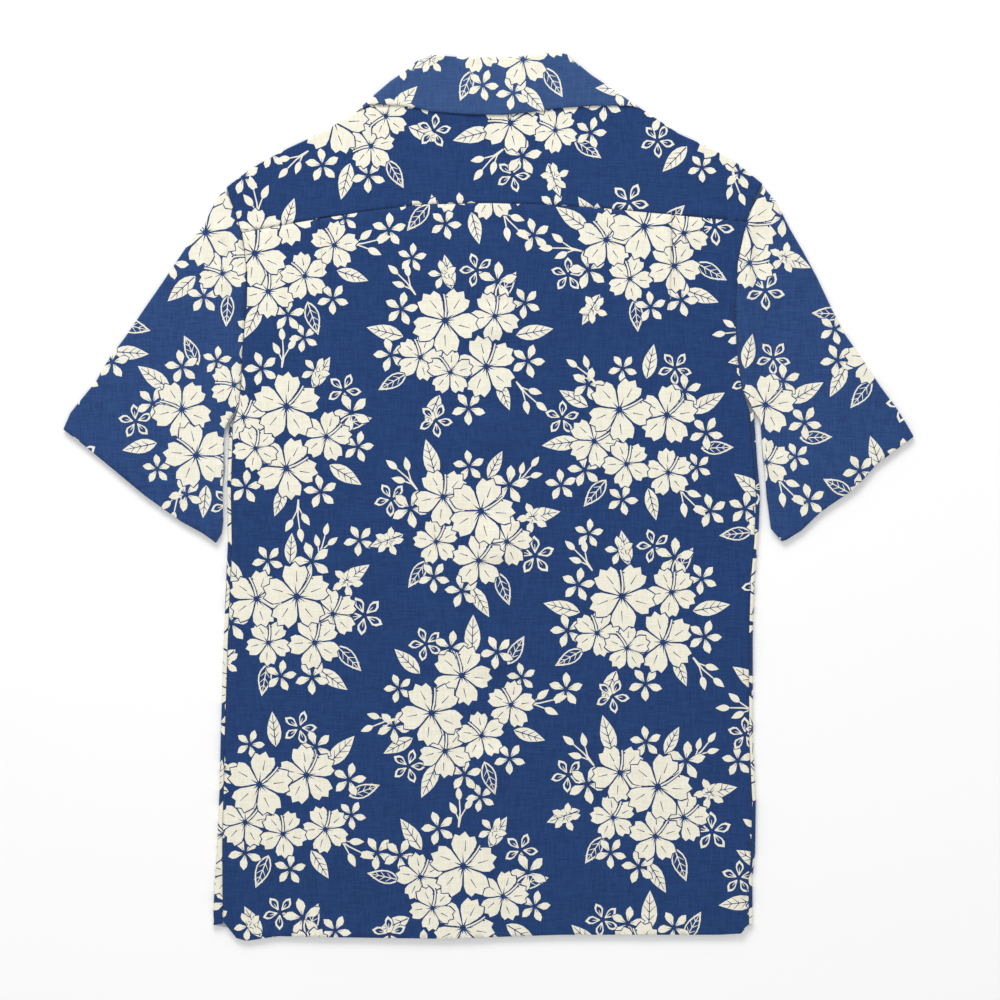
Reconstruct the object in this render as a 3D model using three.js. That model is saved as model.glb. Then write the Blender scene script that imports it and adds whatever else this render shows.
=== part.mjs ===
// A short-sleeved camp-collar shirt, laid flat on a surface with its back up.
// Millimetres. +X is to the right as seen from above, +Y towards the collar, +Z up.
// The fronts lie on the surface, the back lies on them, and the side folds join the two.
import * as THREE from "three";

// Driving dimensions.
const CLOTH = 1.2; // thickness of the cloth wall
const SEAM = 0.3; // gap at a seam, and between two layers
const HALF = CLOTH / 2;
const LAYER = CLOTH + SEAM; // height of one layer over another
const FLOOR = HALF; // height of the middle of the lowest layer
const TOP = 3.8; // height of the middle of the back
const FOLD = (TOP - FLOOR) / 2; // radius of the side folds
const FOLD_REACH = FOLD + HALF; // from the line of a fold to its outer face
const CENTRE = 4.6; // x of the centre front and back
const OVERLAP = 14; // each front passes the centre by this much
const BUTTON_DIAMETER = 11.5;
const BUTTON_THICKNESS = 2.2;
const BUTTON_LIFT = BUTTON_THICKNESS + SEAM; // the fronts rise this far over a button
const BUTTON_ROWS = [150, 55, -40, -135, -230]; // y of each button
const DOME_TOP = 8; // half width of the flat part of the rise over a button
const DOME_FOOT = 22; // half width of its foot
const BREAK = 172; // y where the lapels begin to turn out
const CROSSING_EASE = 0.4; // more height for the right front where the two roll lines cross

// A table is a list of rows with named columns.
function table(names, rows) {
  return rows.map((row) => Object.fromEntries(names.map((name, k) => [name, row[k]])));
}

// The value of a column where another column has the value `at`, between the rows by straight lines.
function lookUp(rows, key, at, column) {
  const ordered = rows[0][key] < rows[rows.length - 1][key] ? rows : [...rows].reverse();
  if (at <= ordered[0][key]) return ordered[0][column];
  for (let k = 1; k < ordered.length; k++) {
    const low = ordered[k - 1];
    const high = ordered[k];
    if (at <= high[key]) {
      const share = (at - low[key]) / (high[key] - low[key]);
      return low[column] + share * (high[column] - low[column]);
    }
  }
  return ordered[ordered.length - 1][column];
}

const mix = (a, b, share) => a + (b - a) * share;
const clamp = (value) => Math.min(1, Math.max(0, value));
const point = (x, y, z) => new THREE.Vector3(x, y, z);

// Side of the body below the armhole: its outer face, and how far inside that the side seam lies.
const SIDE = {
  left: table(["y", "outer", "seam"], [
    [-366, -234.3, 9.0],
    [-336, -233.0, 7.2],
    [-293, -230.4, 4.4],
    [-252, -228.6, 3.6],
    [-203, -227.5, 3.4],
    [-125, -224.9, 3.4],
    [-80, -223.2, 3.4],
    [-38, -221.4, 3.4],
    [4, -222.2, 3.4],
    [56, -220.6, 3.4],
  ]),
  right: table(["y", "outer", "seam"], [
    [-366, 224.3, 3.2],
    [-324, 224.0, 3.2],
    [-302, 226.4, 3.2],
    [-257, 227.0, 3.2],
    [-206, 224.6, 3.2],
    [-120, 224.3, 3.2],
    [-70, 226.0, 3.2],
    [-37, 229.0, 3.2],
    [3, 230.6, 3.2],
    [30, 228.1, 3.2],
    [77, 225.0, 3.2],
  ]),
};

// Armhole seam: where it runs on the back and, cut deeper, on the front.
const ARMHOLE = {
  left: table(["y", "back", "front"], [
    [63, -217.0, -216.2],
    [77, -212.0, -211.5],
    [95, -209.9, -205.8],
    [124, -209.0, -201.0],
    [164, -205.1, -197.5],
    [190, -204.8, -198.5],
    [209, -207.1, -202.5],
    [227, -210.5, -208.0],
    [241, -214.8, -213.5],
    [253, -219.6, -219.0],
    [258, -222.5, -222.5],
  ]),
  right: table(["y", "back", "front"], [
    [75, 219.0, 219.0],
    [92, 214.9, 212.0],
    [125, 210.5, 203.0],
    [160, 209.4, 201.0],
    [198, 211.3, 204.5],
    [214, 214.5, 209.5],
    [234, 218.8, 216.5],
    [245, 223.4, 222.0],
    [260, 232.0, 232.0],
  ]),
};

// Seam between the yoke and the back.
const YOKE_SEAM = table(["x", "y"], [
  [-209.0, 224.3],
  [-161.4, 233.2],
  [-101.7, 242.9],
  [-56.8, 248.3],
  [1.8, 249.5],
  [44.5, 248.4],
  [99.4, 244.9],
  [146.2, 240.5],
  [218.8, 233.6],
]);

// Bottom edge of the back.
const BACK_HEM = table(["x", "y"], [
  [-225.3, -360.0],
  [-213.9, -374.5],
  [-205.4, -376.8],
  [-178.3, -372.8],
  [-134.8, -373.7],
  [-35.4, -375.0],
  [60.7, -371.6],
  [195.6, -371.6],
  [214.0, -370.5],
  [221.1, -362.0],
]);

// Knife pleats of the back: x of the fold at the yoke, and how deep the fold is down its length.
const PLEAT_RISE = 3.2; // height of the folded cloth over the panel
const PLEATS = [
  { x: -142.7, lean: 4, depths: [8, 5, 1.5, 0, 0, 0], towards: -1 },
  { x: 155.0, lean: -2.5, depths: [8, 6.5, 5, 3, 1.5, 0], towards: 1 },
];

// Walls are grids of points in the middle of the cloth. Each point moves out and in along the
// normal by half the thickness, and the rim closes the two faces.
function wall(rows, closedAcross) {
  const height = rows.length;
  const width = rows[0].length;
  const across = closedAcross ? width : width - 1;
  const at = (i, j) => rows[i][closedAcross ? (j + width) % width : j];
  const normals = rows.map((row, i) =>
    row.map((_, j) => {
      const left = closedAcross ? j - 1 : Math.max(j - 1, 0);
      const right = closedAcross ? j + 1 : Math.min(j + 1, width - 1);
      const along = at(Math.min(i + 1, height - 1), j).clone().sub(at(Math.max(i - 1, 0), j));
      const over = at(i, right).clone().sub(at(i, left));
      return over.cross(along).normalize();
    }),
  );
  const positions = [];
  for (const side of [1, -1]) {
    for (let i = 0; i < height; i++) {
      for (let j = 0; j < width; j++) {
        const p = rows[i][j].clone().addScaledVector(normals[i][j], side * HALF);
        positions.push(p.x, p.y, p.z);
      }
    }
  }
  const faces = [];
  const under = height * width;
  const index = (i, j) => i * width + (closedAcross ? j % width : j);
  const quad = (a, b, c, d) => faces.push(a, b, c, a, c, d);
  for (let i = 0; i < height - 1; i++) {
    for (let j = 0; j < across; j++) {
      const [a, b, c, d] = [index(i, j), index(i, j + 1), index(i + 1, j + 1), index(i + 1, j)];
      quad(a, b, c, d);
      quad(a + under, d + under, c + under, b + under);
    }
  }
  const rim = (a, b) => quad(a, a + under, b + under, b);
  for (let j = 0; j < across; j++) {
    rim(index(0, j), index(0, j + 1));
    rim(index(height - 1, j + 1), index(height - 1, j));
  }
  if (!closedAcross) {
    for (let i = 0; i < height - 1; i++) {
      rim(index(i + 1, 0), index(i, 0));
      rim(index(i, width - 1), index(i + 1, width - 1));
    }
  }
  const geometry = new THREE.BufferGeometry();
  geometry.setAttribute("position", new THREE.Float32BufferAttribute(positions, 3));
  geometry.setIndex(faces);
  geometry.computeVertexNormals();
  return geometry;
}

// Rise over the buttons: 1 over a button, falling to 0 at the foot of its dome.
function dome(x, y) {
  const slope = (distance) => clamp((DOME_FOOT - Math.abs(distance)) / (DOME_FOOT - DOME_TOP));
  return Math.max(...BUTTON_ROWS.map((row) => slope(x - CENTRE) * slope(y - row)));
}

// The fronts rise over the lapels and the collar's front ends, above this line.
const RISE_LINE = table(["out", "y"], [
  [-30, 176],
  [-14, 172],
  [66, 228],
  [120, 236],
  [150, 300],
  [180, 380],
]);
const RISE_RAMP = 24;

function lapelRise(side, x, y) {
  const out = side * (x - CENTRE);
  return clamp((y - lookUp(RISE_LINE, "out", out, "y") + RISE_RAMP) / (RISE_RAMP - 6));
}

// Rows of the body up to the break: the hem, then four rows to a button.
const BODY_ROWS = [
  -366, -338, -300, 56, 95,
  ...BUTTON_ROWS.flatMap((row) => [-DOME_FOOT, -DOME_TOP, DOME_TOP, DOME_FOOT].map((d) => row + d)),
].sort((a, b) => a - b);

// Upper rows of each front: the inner end on the roll line or the neck, the outer end on the armhole.
const UPPER_FRONT = {
  left: table(["innerX", "innerY", "outerY"], [
    [11.9, 188, 180],
    [5.2, 204, 188],
    [-2.3, 222, 196],
    [-9.8, 240, 203],
    [-19.0, 262, 210],
    [-28.6, 285, 217],
    [-45.0, 301, 223],
    [-58.0, 318, 229],
  ]),
  right: table(["innerX", "innerY", "outerY"], [
    [-2.9, 188, 182],
    [3.5, 204, 190],
    [10.8, 222, 198],
    [18.1, 240, 205],
    [27.0, 262, 212],
    [36.3, 285, 219],
    [53.5, 303, 225],
    [69.5, 322, 232],
  ]),
};

const INNER_OFFSETS = { left: [0, 6, 22, 28, 36], right: [0, 6, 22, 29.5, 40] };
const SIDE_SHARES = [0.14, 0.32, 0.5, 0.68, 0.86];
const CURL = { left: { 56: 0.45 }, right: { 56: 1, 63: 0.45 } };

// How far a row of the front turns up round the side: 1 all the way, 0 flat.
function curlOf(name, y) {
  if (y in CURL[name]) return CURL[name][y];
  return y < 56 ? 1 : 0;
}

function frontHeight(name, x, y) {
  const rise = dome(x, y) * BUTTON_LIFT;
  const leftLift = Math.max(rise, lapelRise(-1, x, y) * LAYER);
  if (name === "left") return FLOOR + leftLift;
  const edge = y <= BREAK ? CENTRE + OVERLAP : lookUp(UPPER_FRONT.left, "innerY", y, "innerX");
  const over = y < 214 ? clamp((edge + 14 - x) / 5.5) : 0;
  const ease = y > BREAK - DOME_TOP ? CROSSING_EASE : 0;
  return FLOOR + Math.max(rise, lapelRise(1, x, y) * LAYER, over * (leftLift + LAYER + ease));
}

function frontRow(name, y, inner, outerY) {
  const side = name === "left" ? -1 : 1;
  const curl = y > BREAK ? 0 : curlOf(name, y);
  const row = [];
  let base;
  if (curl > 0) {
    const outer = lookUp(SIDE[name], "y", y, "outer");
    base = outer - side * FOLD_REACH;
    const seam = lookUp(SIDE[name], "y", y, "seam");
    const top = Math.max(seam - FOLD_REACH, 0.5) * curl;
    const turn = Math.PI * curl;
    const end = [base + side * FOLD * Math.sin(turn), FLOOR + FOLD * (1 - Math.cos(turn))];
    row.push(point(end[0] + side * top * Math.cos(turn), y, end[1] + top * Math.sin(turn)));
    for (let k = 4; k >= 0; k--) {
      const angle = (turn * k) / 4;
      row.push(point(base + side * FOLD * Math.sin(angle), y, FLOOR + FOLD * (1 - Math.cos(angle))));
    }
  } else {
    base = lookUp(ARMHOLE[name], "y", outerY, "front") - side * SEAM;
    for (let k = 0; k < 6; k++) row.push(point(base - side * 2 * k, outerY, FLOOR));
    base -= side * 10;
  }
  const armhole = row[0].x;
  const offsets = INNER_OFFSETS[name];
  const last = inner.x + side * offsets[offsets.length - 1];
  for (const share of SIDE_SHARES) {
    row.push(point(mix(base, last, share), y, 0));
  }
  for (const offset of [...offsets].reverse()) {
    row.push(point(inner.x + side * offset, y, 0));
  }
  for (const p of row) p.y = mix(outerY, inner.y, clamp((p.x - armhole) / (inner.x - armhole)));
  for (let k = 6; k < row.length; k++) row[k].z = frontHeight(name, row[k].x, row[k].y);
  return side < 0 ? row : row.reverse();
}

function frontRows(name) {
  const side = name === "left" ? -1 : 1;
  const edge = CENTRE - side * OVERLAP;
  const rows = BODY_ROWS.map((y) => frontRow(name, y, { x: edge, y }, y));
  for (const row of UPPER_FRONT[name]) {
    rows.push(frontRow(name, row.innerY, { x: row.innerX, y: row.innerY }, row.outerY));
  }
  // The right front is laid out from its other corner, so that its grid starts at the shoulder.
  return side < 0 ? rows : rows.reverse().map((row) => row.reverse());
}

// Back: rows from the hem to the yoke seam, columns from one side seam to the other.
const BACK_ROWS = BODY_ROWS.slice(1);
const BACK_SHARES = [0.22, 0.46, 0.72, 1];
const CROSSING = table(["y", "rise"], [
  [158, 0],
  [172, LAYER + CROSSING_EASE],
  [214, LAYER + CROSSING_EASE],
  [232, 0],
]);

function backEdge(name, y) {
  const side = name === "left" ? -1 : 1;
  if (y > (name === "left" ? 60 : 72)) return lookUp(ARMHOLE[name], "y", y, "back") - side * 0.2;
  const seam = lookUp(SIDE[name], "y", y, "outer") - side * lookUp(SIDE[name], "y", y, "seam");
  return seam - side * SEAM;
}

function backHeight(x, y) {
  const middle = clamp((DOME_FOOT + 8 - Math.abs(x - CENTRE)) / 12);
  return TOP + Math.max(dome(x, y) * BUTTON_LIFT, lookUp(CROSSING, "y", y, "rise") * middle);
}

// A pleat's section, from the cloth that rises to its fold to the cloth that goes on below it.
function pleatSection(pleat, step, y) {
  const { x, lean, depths, towards } = pleat;
  const fold = x + lean * step / 4;
  const depth = depths[Math.min(step, depths.length - 1)];
  const open = depth === 0;
  const reach = PLEAT_RISE / 4;
  const section = open
    ? [[-14, 0], [-8, 0], [-4, 0], [-2.4, 0], [-0.8, 0], [0.8, 0], [2.4, 0], [4, 0]]
    : [
        [-depth - 16, 0],
        [-depth - 1.5, 1],
        [0, 1],
        [reach, 0.75],
        [0, 0.5],
        [-depth, 0.5],
        [-depth - reach, 0.25],
        [-depth, 0],
      ];
  const points = section.map(([across, rise]) => [fold + towards * across, rise * PLEAT_RISE]);
  if (towards < 0) points.reverse();
  return points.map(([px, rise]) => point(px, y, TOP + rise));
}

function backRow(yAt, step) {
  const middleY = yAt(CENTRE);
  const left = backEdge("left", yAt(-210));
  const right = backEdge("right", yAt(215));
  const inner = [-DOME_FOOT, -OVERLAP, -DOME_TOP, DOME_TOP, OVERLAP, DOME_FOOT].map((d) => CENTRE + d);
  const row = [
    point(left, 0, 0),
    point(left + 12, 0, 0),
    point(-185, 0, 0),
    ...pleatSection(PLEATS[0], step, middleY),
    point(-82, 0, 0),
    point(-45, 0, 0),
    ...inner.map((x) => point(x, 0, 0)),
    point(55, 0, 0),
    point(92, 0, 0),
    ...pleatSection(PLEATS[1], step, middleY),
    point(190, 0, 0),
    point(right - 12, 0, 0),
    point(right, 0, 0),
  ];
  for (const p of row) {
    p.y = yAt(p.x);
    if (p.z === 0) p.z = backHeight(p.x, p.y);
  }
  return row;
}

function backRows() {
  const flat = PLEATS[0].depths.length - 1;
  const rows = [backRow((x) => lookUp(BACK_HEM, "x", x, "y"), flat)];
  for (const y of BACK_ROWS) rows.push(backRow(() => y, y === BREAK ? 4 : flat));
  for (const [k, share] of BACK_SHARES.entries()) {
    const yAt = (x) => mix(BREAK, lookUp(YOKE_SEAM, "x", x, "y") - SEAM, share);
    rows.push(backRow(yAt, 3 - k));
  }
  return rows;
}

// Shoulder folds of the yoke, from the neck to the armhole.
const SHOULDER = {
  left: table(["x", "y"], [
    [-78, 345.5],
    [-112, 323.6],
    [-150, 303.8],
    [-170, 294.0],
    [-195, 280.5],
    [-210, 270.5],
    [-223.5, 259.5],
  ]),
  right: table(["x", "y"], [
    [92.5, 350.0],
    [127, 326.8],
    [160, 306.5],
    [183, 296.0],
    [207, 283.0],
    [232.5, 262.5],
  ]),
};

// Neck edge of the yoke.
const NECK_EDGE = table(["x", "y"], [
  [-78, 345.5],
  [-66, 341.3],
  [-45, 338.2],
  [-20, 336.8],
  [4.6, 336.5],
  [29, 337.1],
  [54, 339.6],
  [79, 345.0],
  [92.5, 350.0],
]);
const YOKE_SHARES = [0, 0.12, 0.24, 0.4, 0.58, 0.76, 0.9, 1];

// Height of the cloth under the shoulder: over the collar near the neck, on the surface further out.
const strapHeight = (x) => FLOOR + LAYER * clamp((150 - Math.abs(x - CENTRE)) / 28);

function shoulderColumns(name) {
  const side = name === "left" ? -1 : 1;
  const fold = SHOULDER[name];
  const lastFront = UPPER_FRONT[name][UPPER_FRONT[name].length - 1];
  const neck = fold[0];
  const end = fold[fold.length - 1];
  const seamEnd = lookUp(ARMHOLE[name], "y", lastFront.outerY, "front") - side * SEAM;
  const columns = [];
  for (const share of [0, 0.5, 0.85]) {
    const innerX = mix(lastFront.innerX, neck.x, share);
    const innerY = mix(lastFront.innerY + 0.8, neck.y, share);
    const outerY = mix(lastFront.outerY + 0.8, end.y, share);
    const outerX = share === 0 ? seamEnd : lookUp(ARMHOLE[name], "y", outerY, "front") - side * 2 * SEAM;
    columns.push(YOKE_SHARES.map((v) => {
      const x = mix(innerX, outerX, v);
      return point(x, mix(innerY, outerY, v), strapHeight(x));
    }));
  }
  for (const quarter of [0, 1, 2, 3, 4]) {
    const angle = (Math.PI * quarter) / 4;
    columns.push(YOKE_SHARES.map((v) => {
      const x = mix(neck.x, end.x, v);
      const low = strapHeight(x);
      const radius = (TOP - low) / 2;
      const out = radius * Math.sin(angle);
      return point(
        x + side * out * 0.52,
        lookUp(fold, "x", x, "y") + out * 0.85,
        (TOP + low) / 2 - radius * Math.cos(angle),
      );
    }));
  }
  return columns;
}

function yokeRows() {
  const outer = [
    [-217.6, 250], [-213.0, 239], [-208.6, 225.0],
    ...[-190, -161.4, -130, -101.7, -56.8, -20, 1.8, 44.5, 72, 99.4, 146.2, 185].map((x) => [x, 0]),
    [218.3, 234.4], [221.5, 242.5], [226.5, 252],
  ];
  for (const p of outer) if (p[1] === 0) p[1] = lookUp(YOKE_SEAM, "x", p[0], "y") + SEAM;
  const fan = outer.map(([x, y], k) => {
    const neckX = mix(NECK_EDGE[0].x, NECK_EDGE[NECK_EDGE.length - 1].x, (k + 1) / (outer.length + 1));
    const neckY = lookUp(NECK_EDGE, "x", neckX, "y");
    return YOKE_SHARES.map((v) => point(mix(neckX, x, v), mix(neckY, y, v), TOP));
  });
  return [...shoulderColumns("left"), ...fan, ...shoulderColumns("right").reverse()];
}

// Sleeves: the line of the outer fold, the underarm fold and the open hem.
const SLEEVE_FOLD = {
  left: table(["x", "y"], [
    [-226.8, 257.5], [-241, 228], [-258.8, 205], [-289.7, 159.7], [-320.6, 116], [-346.8, 78.5], [-358.2, 58],
  ]),
  right: table(["x", "y"], [
    [236.0, 260.5], [254, 226.5], [276.8, 185.7], [299.3, 139], [330.5, 93], [352.7, 61.5], [358.3, 51],
  ]),
};
const UNDERARM = {
  left: table(["x", "y"], [
    [-219.7, 66], [-224.2, 57], [-224.4, 40], [-225.4, 10], [-225.2, -20], [-229.5, -36],
  ]),
  right: table(["x", "y"], [
    [223.6, 75], [230.2, 65], [231.2, 45], [232.6, 25], [234.4, 0], [240, -25], [248, -35],
  ]),
};
const SLEEVE_HEM = {
  left: table(["x", "y"], [
    [-358.2, 58], [-345.5, 45], [-324, 29], [-291.5, 2.5], [-260.6, -19.5], [-243, -29.5], [-229.5, -36],
  ]),
  right: table(["x", "y"], [
    [358.3, 51], [328.8, 28], [311.3, 8.5], [291.7, -4.5], [280.7, -12.5], [265.5, -26], [248, -35],
  ]),
};
const SLEEVE_SHARES = [0, 0.035, 0.07, 0.12, 0.22, 0.36, 0.5, 0.65, 0.8, 0.92, 1];
const ACROSS_SHARES = [0, 0.05, 0.13, 0.24, 0.37, 0.5, 0.63, 0.76, 0.87, 0.95, 1];

// Soft vertical folds of the sleeve head: where each lies along and across, its height and width.
const SLEEVE_FOLDS = {
  left: table(["along", "across", "rise", "width"], [
    [0.07, 0.45, 1.4, 0.06],
    [0.2, 0.3, 1.0, 0.1],
    [0.36, 0.5, 0.8, 0.12],
  ]),
  right: table(["along", "across", "rise", "width"], [
    [0.07, 0.45, 1.6, 0.06],
    [0.22, 0.7, 1.0, 0.1],
    [0.5, 0.85, 0.8, 0.12],
  ]),
};

// The point that is the given share along a line of points.
function alongLine(line, share) {
  const lengths = line.slice(1).map((p, k) => Math.hypot(p.x - line[k].x, p.y - line[k].y));
  let left = share * lengths.reduce((sum, length) => sum + length, 0);
  for (let k = 0; k < lengths.length; k++) {
    if (left <= lengths[k] || k === lengths.length - 1) {
      const part = left / lengths[k];
      return { x: mix(line[k].x, line[k + 1].x, part), y: mix(line[k].y, line[k + 1].y, part) };
    }
    left -= lengths[k];
  }
}

// A point of a patch between four lines that meet at its corners.
function patch(lines, across, along) {
  const [start, end, near, far] = [
    alongLine(lines.armhole, across),
    alongLine(lines.hem, across),
    alongLine(lines.fold, along),
    alongLine(lines.underarm, along),
  ];
  const corners = [lines.armhole, lines.hem].flatMap((line) => [line[0], line[line.length - 1]]);
  const blend = (axis) =>
    mix(start[axis], end[axis], along) +
    mix(near[axis], far[axis], across) -
    mix(mix(corners[0][axis], corners[1][axis], across), mix(corners[2][axis], corners[3][axis], across), along);
  return { x: blend("x"), y: blend("y") };
}

function sleeveRows(name) {
  const side = name === "left" ? -1 : 1;
  const armhole = (column) => [
    SLEEVE_FOLD[name][0],
    ...[...ARMHOLE[name]].reverse().slice(1).map((row) => ({ x: row[column] + side * 3 * SEAM, y: row.y })),
    UNDERARM[name][0],
  ];
  const lines = { fold: SLEEVE_FOLD[name], underarm: UNDERARM[name], hem: SLEEVE_HEM[name] };
  const layer = (column, along) =>
    ACROSS_SHARES.map((across) => patch({ ...lines, armhole: armhole(column) }, across, along));
  const rise = (along, across) =>
    SLEEVE_FOLDS[name].reduce((sum, fold) => {
      const distance = Math.abs(along - fold.along) / fold.width;
      const length = Math.abs(across - fold.across) / 0.35;
      return sum + fold.rise * clamp(1 - distance) * clamp(1 - length);
    }, 0);
  return SLEEVE_SHARES.map((along) => {
    const top = layer("back", along);
    const bottom = layer("front", along);
    const ring = top.map((p, k) => point(p.x, p.y, TOP + rise(along, ACROSS_SHARES[k])));
    const turn = (at, outward) => {
      for (const angle of [45, 90, 135]) {
        const radians = THREE.MathUtils.degToRad(angle);
        const out = FOLD * Math.sin(radians);
        const height = FLOOR + FOLD * (1 + Math.cos(radians));
        ring.push(point(at.x + outward.x * out, at.y + outward.y * out, height));
      }
    };
    turn(top[top.length - 1], { x: -side * 0.95, y: -0.3 });
    for (const p of [...bottom].reverse()) ring.push(point(p.x, p.y, FLOOR));
    const outer = ring.length;
    turn(top[0], { x: side * 0.83, y: 0.56 });
    const added = ring.splice(outer, 3).reverse();
    ring.push(...added);
    return side < 0 ? ring.reverse() : ring;
  });
}

// Lapels: the turned-out top of each front, from the roll line to the free edge.
const LAPEL = {
  left: table(["rollX", "rollY", "edgeX", "edgeY"], [
    [15.3, 180, 6, 182.5],
    [11.9, 188, -4, 194],
    [5.2, 204, -22, 209],
    [-2.3, 222, -42, 224],
    [-9.8, 240, -62, 238],
    [-19.0, 262, -50, 254],
    [-26.9, 281, -37, 277],
  ]),
  right: table(["rollX", "rollY", "edgeX", "edgeY"], [
    [7.7, 214.5, 22, 212.5],
    [10.8, 222, 38, 222],
    [18.1, 240, 70, 238],
    [27.0, 262, 59, 254],
    [34.7, 281, 45, 277],
  ]),
};

function lapelRows(name) {
  const side = name === "left" ? -1 : 1;
  const radius = LAYER / 2;
  return LAPEL[name].map((row) => {
    const base = { x: row.rollX - side * 2 * SEAM, y: row.rollY };
    const flat = [0, 0.35, 0.7, 0.9].map((share) =>
      point(mix(row.edgeX, base.x, share), mix(row.edgeY, base.y, share), FLOOR),
    );
    const arc = [0, 45, 90, 135, 180].map((angle) => {
      const radians = THREE.MathUtils.degToRad(angle);
      return point(base.x - side * radius * Math.sin(radians), base.y, FLOOR + radius * (1 - Math.cos(radians)));
    });
    const points = [...flat, ...arc];
    return side < 0 ? points : points.reverse();
  });
}

// Collar: its neck edge, the roll and the free edge. Turn is 1 where it lies on the back and -1
// where it lies in front, under the shoulder.
const COLLAR = table(["neckX", "neckY", "rollX", "rollY", "edgeX", "edgeY", "turn"], [
  [-31.0, 291.5, -28.8, 292.5, -88, 266.0, -1],
  [-41.5, 302.5, -36.0, 304.5, -92, 275.5, -1],
  [-55.0, 317.0, -44.0, 321.0, -97, 288.0, -1],
  [-66.0, 332.0, -53.0, 343.0, -104, 305.0, -1],
  [-76.0, 345.0, -61.0, 362.0, -110, 323.5, -1],
  [-77.0, 346.5, -62.5, 365.0, -110.5, 325.2, -0.5],
  [-77.0, 346.5, -62.5, 365.0, -110.5, 325.2, 0],
  [-77.0, 346.5, -62.5, 365.0, -110.5, 325.2, 0.5],
  [-76.0, 346.0, -61.0, 367.0, -109, 325.8, 1],
  [-66.0, 342.5, -54.0, 371.8, -92, 331.5, 1],
  [-45.0, 339.2, -38.0, 372.2, -62, 329.6, 1],
  [-20.0, 337.8, -18.0, 371.3, -24, 324.6, 1],
  [4.6, 337.5, 4.6, 371.3, 4.6, 323.9, 1],
  [29.0, 338.1, 27.0, 372.2, 31, 325.5, 1],
  [54.0, 340.6, 46.0, 374.2, 62, 330.0, 1],
  [79.0, 346.0, 59.0, 375.6, 100, 332.0, 1],
  [91.0, 350.8, 68.5, 371.2, 124, 329.6, 1],
  [92.0, 351.3, 70.5, 369.3, 125.5, 328.6, 0.5],
  [92.0, 351.3, 70.5, 369.3, 125.5, 328.6, 0],
  [92.0, 351.3, 70.5, 369.3, 125.5, 328.6, -0.5],
  [91.0, 349.5, 69.3, 366.5, 125, 326.5, -1],
  [79.0, 335.0, 60.0, 344.0, 119, 306.0, -1],
  [65.0, 318.0, 50.5, 321.0, 111, 289.0, -1],
  [50.0, 303.5, 43.5, 305.0, 104, 277.0, -1],
  [40.0, 292.2, 38.0, 293.2, 98, 267.0, -1],
]);
const COLLAR_CORE = (TOP + FLOOR + LAYER) / 2; // height about which the collar turns
const STAND_REACH = TOP - COLLAR_CORE; // from there to the stand
const SIDE_LEAN = 0.71; // the collar's side fold faces up the sheet and outwards alike

function collarRows() {
  return COLLAR.map((row) => {
    const side = row.neckX < CENTRE ? -1 : 1;
    const neck = { x: row.neckX, y: row.neckY };
    const roll = { x: row.rollX, y: row.rollY };
    const edge = { x: row.edgeX, y: row.edgeY };
    const far = Math.hypot(roll.x - neck.x, roll.y - neck.y);
    const bulge = { x: (roll.x - neck.x) / far, y: (roll.y - neck.y) / far };
    const angle = (row.turn * Math.PI) / 2;
    const place = (p, reach, out) => {
      const aside = reach * Math.cos(angle);
      return point(
        p.x + bulge.x * out + side * SIDE_LEAN * aside,
        p.y + bulge.y * out + SIDE_LEAN * aside,
        COLLAR_CORE + reach * Math.sin(angle),
      );
    };
    const between = (a, b, share) => ({ x: mix(a.x, b.x, share), y: mix(a.y, b.y, share) });
    const stand = [0, 0.5, 1].map((share) => place(between(neck, roll, share), STAND_REACH, 0));
    const turn = [45, 90, 135].map((degrees) => {
      const radians = THREE.MathUtils.degToRad(degrees);
      const reach = STAND_REACH + (LAYER / 2) * (1 - Math.cos(radians));
      return place(roll, reach, (LAYER / 2) * Math.sin(radians));
    });
    const fall = [0, 0.3, 0.65, 1].map((share) => place(between(roll, edge, share), STAND_REACH + LAYER, 0));
    return [...stand, ...turn, ...fall];
  });
}

// Buttons lie face down under the left front.
function buttonGeometry() {
  const radius = BUTTON_DIAMETER / 2;
  const outline = [
    [0, 0.5], [radius - 1.6, 0.5], [radius - 1.0, 0], [radius - 0.4, 0], [radius, 0.5],
    [radius, 1.4], [radius - 0.9, BUTTON_THICKNESS], [0, BUTTON_THICKNESS],
  ].map(([x, y]) => new THREE.Vector2(x, y));
  const geometry = new THREE.LatheGeometry(outline, 14);
  geometry.rotateX(Math.PI / 2);
  return geometry;
}

const CLOTH_FINISH = { roughness: 0.85, metalness: 0 };
const clothBlue = () => new THREE.MeshStandardMaterial({ color: 0x1f3c72, ...CLOTH_FINISH });
const clothLight = () => new THREE.MeshStandardMaterial({ color: 0x2b4a85, ...CLOTH_FINISH });
const shell = () => new THREE.MeshStandardMaterial({ color: 0xe8e0cc, roughness: 0.3, metalness: 0 });

const shirt = new THREE.Group();

function add(name, geometry, material) {
  const mesh = new THREE.Mesh(geometry, material);
  mesh.name = name;
  shirt.add(mesh);
  return mesh;
}

add("back_panel", wall(backRows(), false), clothBlue());
add("yoke", wall(yokeRows(), false), clothLight());
for (const name of ["left", "right"]) {
  add("front_" + name, wall(frontRows(name), false), clothLight());
  add("lapel_" + name, wall(lapelRows(name), false), clothBlue());
  add("sleeve_" + name, wall(sleeveRows(name), true), clothBlue());
}
add("collar", wall(collarRows(), false), clothBlue());
BUTTON_ROWS.forEach((y, k) => {
  add("button_" + (k + 1), buttonGeometry(), shell()).position.set(CENTRE, y, 0);
});

// The sheet's own middle and lowest face become the origin.
const box = new THREE.Box3().setFromObject(shirt, true);
shirt.position.set(-(box.min.x + box.max.x) / 2, -(box.min.y + box.max.y) / 2, -box.min.z);

export default shirt;
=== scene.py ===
import math
import random

import bpy
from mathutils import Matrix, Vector, noise
from mathutils.geometry import delaunay_2d_cdt


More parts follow.
